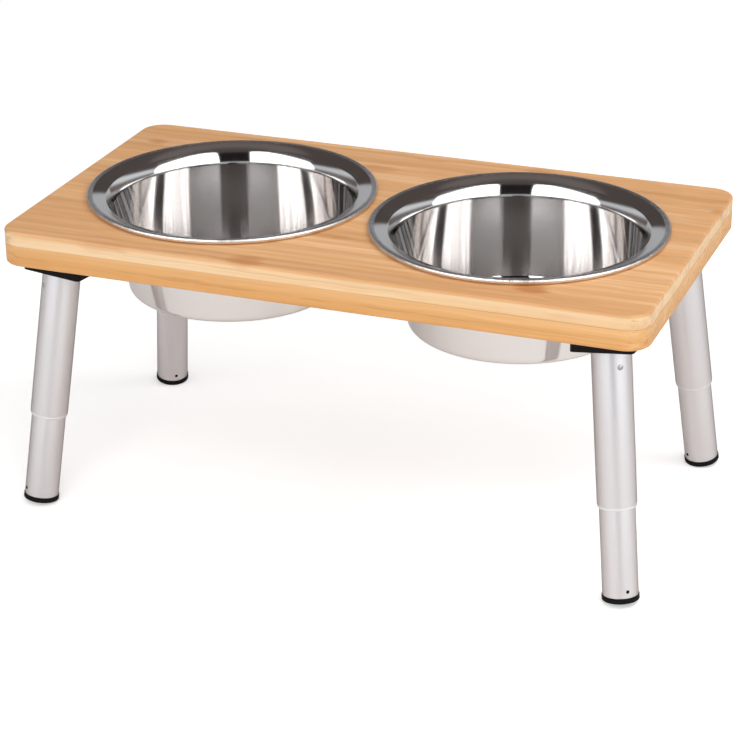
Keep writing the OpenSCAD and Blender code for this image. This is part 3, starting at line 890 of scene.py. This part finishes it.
class TubeBuild(bpy.types.Operator):
    """Draws the upper and lower tubes of the four legs"""

    bl_idname = "feeder.tubes"
    bl_label = "Tubes"

    def execute(self, context):
        look = context.scene.feeder_leg
        metal = satin_aluminium(look)
        upper = tube_section(look.upper_r, look.upper_bore_r, look.upper_start, look.upper_end, look.lip_r)
        lower = tube_section(look.lower_r, look.lower_bore_r, look.lower_start, look.lower_end, look.lip_r)
        for leg, (origin, axis) in leg_axes().items():
            obj = turned(f"tube_upper_{leg}", upper, origin, axis)
            dress(obj, STAND, "satin_aluminium", metal, f"upper_tube_{leg}")
            obj = turned(f"tube_lower_{leg}", lower, origin, axis)
            dress(obj, f"lower_leg_{leg}", "satin_aluminium", metal, f"lower_tube_{leg}")
        return {"FINISHED"}


class CollarBuild(bpy.types.Operator):
    """Makes the nylon collars at the mouths of the upper tubes"""

    bl_idname = "feeder.collars"
    bl_label = "Collars"

    def execute(self, context):
        look = context.scene.feeder_leg
        nylon = moulded("white_nylon", look.nylon, roughness=0.35, grain_mm=0.5, depth_mm=0.004)
        for leg, (origin, axis) in leg_axes().items():
            obj = turned(f"nylon_collar_{leg}", collar_section(look), origin, axis)
            dress(obj, STAND, "white_nylon", nylon, f"collar_{leg}")
        return {"FINISHED"}


class FootBuild(bpy.types.Operator):
    """Moulds the rubber feet with their nubs, flat where they stand on the floor"""

    bl_idname = "feeder.feet"
    bl_label = "Feet"

    def execute(self, context):
        look = context.scene.feeder_leg
        rubber = moulded(
            "black_rubber", look.rubber, roughness=0.55, grain_mm=0.35, depth_mm=0.012, specular=0.06
        )
        for leg, (origin, axis) in leg_axes().items():
            points, rows, columns = lathe(foot_section(look), origin, axis, LEG_ROUND)
            quads = grid_faces(rows, columns, False)
            points[:, 2] = np.maximum(points[:, 2], 0.0)
            obj = piece(f"rubber_foot_{leg}", points, quads)
            dress(obj, f"lower_leg_{leg}", "black_rubber", rubber, f"foot_{leg}")
            out = unit(np.array([axis[0], axis[1], 0.0]))
            across = unit(out - axis * (out @ axis))
            middle = origin + axis * (look.lower_end - look.nub_rise)
            reach = look.lower_r + look.nub_proud
            back = look.lower_bore_r - 0.1 * MM
            nub = eased(
                [(0.0, back), (look.nub_r, back), (look.nub_r, reach), (0.0, reach)],
                np.array([0.01, 0.1, 0.3, 0.01]) * MM,
            )
            for number, way in enumerate((across, -across)):
                knob = turned(f"foot_nub_{leg}_{number}", nub, middle, way, NUB_ROUND)
                knob.data.materials.append(rubber)
                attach(knob, f"lower_leg_{leg}")
        return {"FINISHED"}


class HardwareBuild(bpy.types.Operator):
    """Finishes the plates, screws, rivets and twist locks"""

    bl_idname = "feeder.hardware"
    bl_label = "Hardware"

    def execute(self, context):
        look = context.scene.feeder_leg
        grain = {"grain_mm": 0.6, "depth_mm": 0.01}
        finishes = {
            "mount_plate": moulded("black_nylon", look.plate, roughness=0.48, specular=0.09, **grain),
            "mount_screws": turned_metal("plated_steel", (0.55, 0.55, 0.57), 0.30),
            "tube_rivet": turned_metal("rivet_aluminium", (0.42, 0.41, 0.41), 0.35),
            "lock_expander": moulded("grey_nylon", (0.36, 0.36, 0.37), roughness=0.40, **grain),
            "lock_spindle": turned_metal("brass", (0.72, 0.50, 0.20), 0.25),
            "lock_nut": turned_metal("nut_steel", (0.50, 0.50, 0.52), 0.30),
        }
        for kind, finish in finishes.items():
            for leg in LEGS:
                node = frame["nodes"][f"{kind}_{leg}"]
                node.data.materials.clear()
                node.data.materials.append(finish)
        return {"FINISHED"}


class StageBuild(bpy.types.Operator):
    """Sets up the floor, the studio light and the camera"""

    bl_idname = "feeder.stage"
    bl_label = "Stage"

    def execute(self, context):
        look = context.scene.feeder_stage
        context.scene.view_settings.view_transform = "Standard"
        self.floor(context, look)
        self.world(context, look)
        self.lights(context, look)
        self.camera(context, look)
        return {"FINISHED"}

    def floor(self, context, look):
        """A wide round floor that shows white to the camera apart from the feeder's shadow.

        In reflections it is paler than it is, with a painted warm glow for light bounced from the board.
        """
        ring = arc((0.0, 0.0), FLOOR_R, 0.0, 2.0 * np.pi, FLOOR_SIDES + 1)[:-1]
        mesh = bpy.data.meshes.new("floor")
        mesh.from_pydata(raised(ring, -FLOOR_DROP).tolist(), [], [list(range(FLOOR_SIDES))])
        floor = bpy.data.objects.new("floor", mesh)
        context.scene.collection.objects.link(floor)
        constants = {"Base Color": look.floor, "Roughness": 0.9, "Specular IOR Level": 0.1}
        finish = Finish("floor", constants)
        camera = finish.ray("Is Camera Ray")
        mirrored = finish.ray("Is Glossy Ray").math("MAXIMUM", finish.ray("Is Transmission Ray"))
        reach = finish.node("ShaderNodeVectorMath", {"operation": "LENGTH"}, {0: finish.place()}, out="Value")
        glow = look.floor_glow * camera + look.floor_shine * mirrored
        near = finish.node("ShaderNodeEmission", None, {"Strength": glow})
        white = finish.node("ShaderNodeEmission", None, {"Strength": 1.0})
        # Painted bounce light: a glow in the board's warm colour that only reflections see
        warm = finish.node("ShaderNodeEmission", None, {"Color": look.cast, "Strength": 1.0})
        bright = finish.node("ShaderNodeAddShader", None, {0: finish.lit, 1: near})
        far = finish.step(reach, look.white_from, look.white_at) * camera.math("MAXIMUM", mirrored)
        seen = finish.either(look.painted_board_bounce_share * mirrored, finish.either(far, bright, white), warm)
        finish.node_tree.links.new(seen.socket, finish.output.inputs["Surface"])
        mesh.materials.append(finish.material)

    def world(self, context, look):
        """White for the camera, an even light for the surfaces, and a studio for reflections.

        The studio has bright panels in front, with a dark gap where the camera stands and an upper edge that
        falls towards their ends, pale side walls with a dim foot, a backdrop up to a level edge, a dim
        softbox over it, and a dark ceiling.
        """
        world = bpy.data.worlds.new("studio")
        world.use_nodes = True
        context.scene.world = world
        tree = Tree(world.node_tree)
        way = tree.node("ShaderNodeTexCoord", out="Generated")
        turned_way = tree.node(
            "ShaderNodeMapping", None, {"Vector": way, "Rotation": (0.0, 0.0, -look.azimuth)}
        )
        x, y, z = tree.parts(turned_way)
        up = z.math("ARCSINE")
        apart = x.math("ARCTAN2", y * -1.0).math("ABSOLUTE")
        crisp, soft, softer = math.radians(1.5), math.radians(4.0), math.radians(5.0)

        def above(value, limit, width=crisp):
            """One where a value is past a limit, with a soft edge of twice the width."""
            return tree.step(value, limit - width, limit + width)

        behind = above(apart, look.wall_end)
        beside = above(apart, look.panel_outer) * (1.0 - behind)
        fall = look.panel_drop * tree.step(apart, look.drop_from, look.drop_to)
        low = 1.0 - above(up + fall, look.panel_top, softer)
        wide = 0.5 + 0.5 * (1.0 - z * z).math("SQRT")
        outside = above(x.math("ABSOLUTE") / wide, math.sin(look.panel_inner))
        front = 1.0 - above(apart, look.panel_outer)
        middle = front * (1.0 - outside)
        gap = middle * low * above(up, look.gap_low)
        before = front * outside
        panel = before * low * above(up, look.panel_low)
        skirt = before * (1.0 - above(up, look.panel_low)) + middle * (1.0 - above(up, look.gap_low))
        walls = beside * (1.0 - above(up, look.wall_top, soft))
        walls = walls * tree.step(up, look.wall_foot, look.wall_full, look.wall_dim, 1.0)
        backdrop = behind * (1.0 - above(up, look.backdrop_top))
        softbox = behind * above(up, look.softbox_low) * (1.0 - above(up, look.softbox_top))
        studio = (
            look.ceiling
            + (look.gap - look.ceiling) * gap
            + (look.backdrop - look.ceiling) * backdrop
            + (look.walls - look.ceiling) * (walls + skirt)
            + (look.softbox - look.ceiling) * softbox
            + (look.panel - look.ceiling) * panel
        ) * (1.0 + look.slant * x)

        def light(colour, strength):
            return tree.node("ShaderNodeBackground", None, {"Color": colour, "Strength": strength})

        plain = (1.0, 1.0, 1.0)
        dim_hue, bright_hue = (1.0, 0.86, 0.82), (0.94, 1.0, 1.06)
        hue = tree.mix(tree.step(studio, 0.1, 0.45), dim_hue, bright_hue)
        seen = tree.either(tree.ray("Is Glossy Ray"), light(plain, look.ambient), light(hue, studio))
        seen = tree.either(tree.ray("Is Camera Ray"), seen, light(plain, 1.0))
        tree.add("ShaderNodeOutputWorld", None, {"Surface": seen})

    def lights(self, context, look):
        """A large soft light in front and one at each side, all aimed at the board."""
        target = np.array([0.0, 0.0, 0.12])
        front = math.degrees(look.azimuth)
        # Name, turn and height in degrees, distance and size in metres, and power
        plan = (
            ("front_light", front - 5.0, 38.0, 1.6, 1.3, look.key),
            ("left_light", front - 75.0, 30.0, 1.6, 0.9, look.left),
            ("right_light", front + 80.0, 50.0, 1.3, 0.9, look.right),
        )
        for name, around, up, away, size, watts in plan:
            back = towards(math.radians(around), math.radians(up))
            data = bpy.data.lights.new(name, "AREA")
            data.energy = watts
            data.size = size
            lamp = bpy.data.objects.new(name, data)
            lamp.visible_glossy = False
            lamp.visible_camera = False
            lamp.matrix_world = looking(target + back * away, back, 0.0)
            context.scene.collection.objects.link(lamp)

    def camera(self, context, look):
        """The photograph's viewpoint: turned, raised and rolled about its own view."""
        back = towards(look.azimuth, look.elevation)
        data = bpy.data.cameras.new("camera")
        data.sensor_width = 36.0
        data.lens = data.sensor_width * look.focal_px / look.picture_px
        data.clip_start = 0.05
        data.clip_end = 50.0
        camera = bpy.data.objects.new("camera", data)
        target = np.array([look.aim_x, look.aim_y, TOP_Z])
        camera.matrix_world = looking(target + back * look.distance, back, look.roll)
        context.scene.collection.objects.link(camera)
        context.scene.camera = camera


def towards(azimuth, elevation):
    """A direction so far round to the right of the front and so far above the level."""
    flat = math.cos(elevation)
    return np.array([math.sin(azimuth) * flat, -math.cos(azimuth) * flat, math.sin(elevation)])


def looking(place, back, roll):
    """The matrix of a camera or lamp at a place that looks away from back, rolled about its view."""
    right = unit(np.cross(UP, back))
    over = np.cross(back, right)
    tilted = math.cos(roll) * right - math.sin(roll) * over
    upright = math.sin(roll) * right + math.cos(roll) * over
    matrix = np.eye(4)
    matrix[:3, 0], matrix[:3, 1], matrix[:3, 2], matrix[:3, 3] = tilted, upright, back, place
    return Matrix(matrix.tolist())


class FeederPanel(bpy.types.Panel):
    """Lists the feeder's pieces and its sizes"""

    bl_idname = "VIEW3D_PT_feeder"
    bl_label = "Raised pet feeder"
    bl_space_type = "VIEW_3D"
    bl_region_type = "UI"
    bl_category = "Feeder"

    def draw(self, context):
        for group, builds in GROUPS.items():
            box = self.layout.box()
            look = getattr(context.scene, group)
            for build in builds:
                box.operator(build.bl_idname)
            for key in look.__annotations__:
                box.prop(look, key)


LOOKS = {"feeder_board": BoardLook, "feeder_bowl": BowlLook, "feeder_leg": LegLook, "feeder_stage": StageLook}
GROUPS = {
    "feeder_board": (BoardBuild,),
    "feeder_bowl": (BowlBuild,),
    "feeder_leg": (TubeBuild, CollarBuild, FootBuild, HardwareBuild),
    "feeder_stage": (StageBuild,),
}
CLASSES = (*LOOKS.values(), *(build for builds in GROUPS.values() for build in builds), FeederPanel)


def register():
    for cls in CLASSES:
        bpy.utils.register_class(cls)
    for name, look in LOOKS.items():
        setattr(bpy.types.Scene, name, bpy.props.PointerProperty(type=look))


def unregister():
    for name in LOOKS:
        delattr(bpy.types.Scene, name)
    for cls in reversed(CLASSES):
        bpy.utils.unregister_class(cls)


def main():
    register()
    bpy.ops.feeder.stage()
    bpy.ops.feeder.board()
    bpy.ops.feeder.bowls()
    bpy.ops.feeder.tubes()
    bpy.ops.feeder.collars()
    bpy.ops.feeder.feet()
    bpy.ops.feeder.hardware()


if __name__ == "__main__":
    main()
